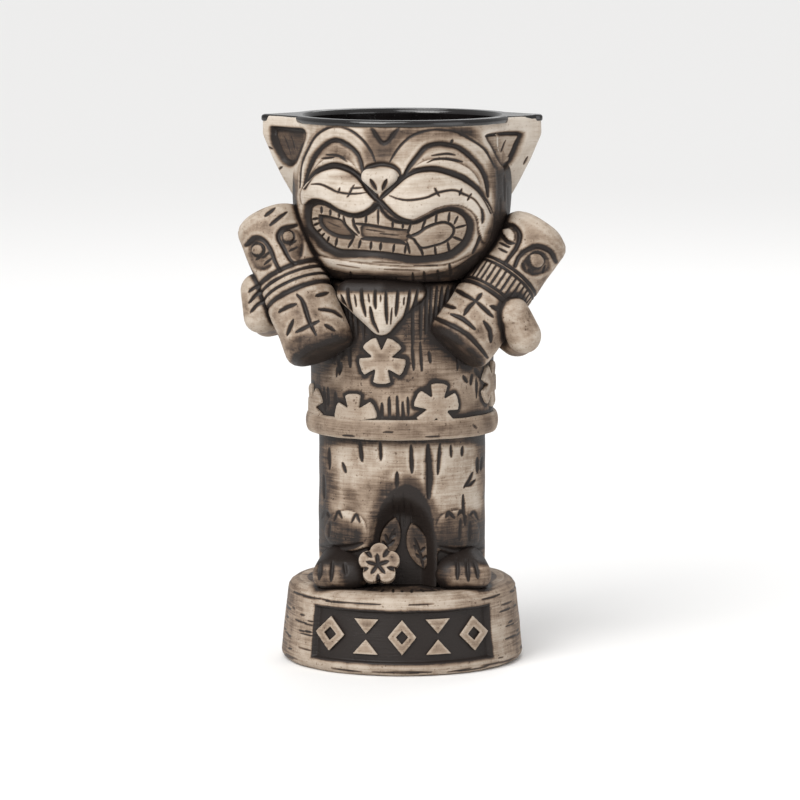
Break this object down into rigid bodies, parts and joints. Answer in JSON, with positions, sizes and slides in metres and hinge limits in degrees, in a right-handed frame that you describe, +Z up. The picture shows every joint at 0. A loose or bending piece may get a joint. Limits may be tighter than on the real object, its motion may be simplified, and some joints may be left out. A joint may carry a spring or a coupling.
{
  "type": "figural drinking mug",
  "caption": "Tall slip-cast ceramic mug carved as a grinning cat in a flowered shirt on a round plinth, with a small carved beaker in each paw and a black-glazed bowl.",
  "frame": {"origin": "centre of the flat underside of the round plinth", "axes": "+Z up, -Y is the face side, +X is to the viewer's right when the face is seen"},
  "size_m": [0.1129, 0.0853, 0.19],
  "materials": {
    "stained_bisque": "cream bisque with a dark brown wash rubbed back from the high places",
    "black_glaze": "gloss"
  },
  "bodies": {
    "root": {"plinth": "stained_bisque", "panel_relief": "stained_bisque", "leg_shell": "stained_bisque", "left_foot": "stained_bisque", "right_foot": "stained_bisque", "foot_flower": "stained_bisque", "left_leaf": "stained_bisque", "right_leaf": "stained_bisque", "shirt_shell": "stained_bisque", "shirt_hem": "stained_bisque", "chest_flower": "stained_bisque", "left_hem_flower": "stained_bisque", "right_hem_flower": "stained_bisque", "left_side_flower": "stained_bisque", "right_side_flower": "stained_bisque", "back_right_flower": "stained_bisque", "back_flower": "stained_bisque", "back_left_flower": "stained_bisque", "head_shell": "stained_bisque", "left_ear": "stained_bisque", "right_ear": "stained_bisque", "nose": "stained_bisque", "beard": "stained_bisque", "left_arm": "stained_bisque", "right_arm": "stained_bisque", "left_paw": "stained_bisque", "right_paw": "stained_bisque", "left_beaker": "stained_bisque", "right_beaker": "stained_bisque", "inner_glaze": "black_glaze", "rim_glaze": "black_glaze"}
  },
  "joints": []
}
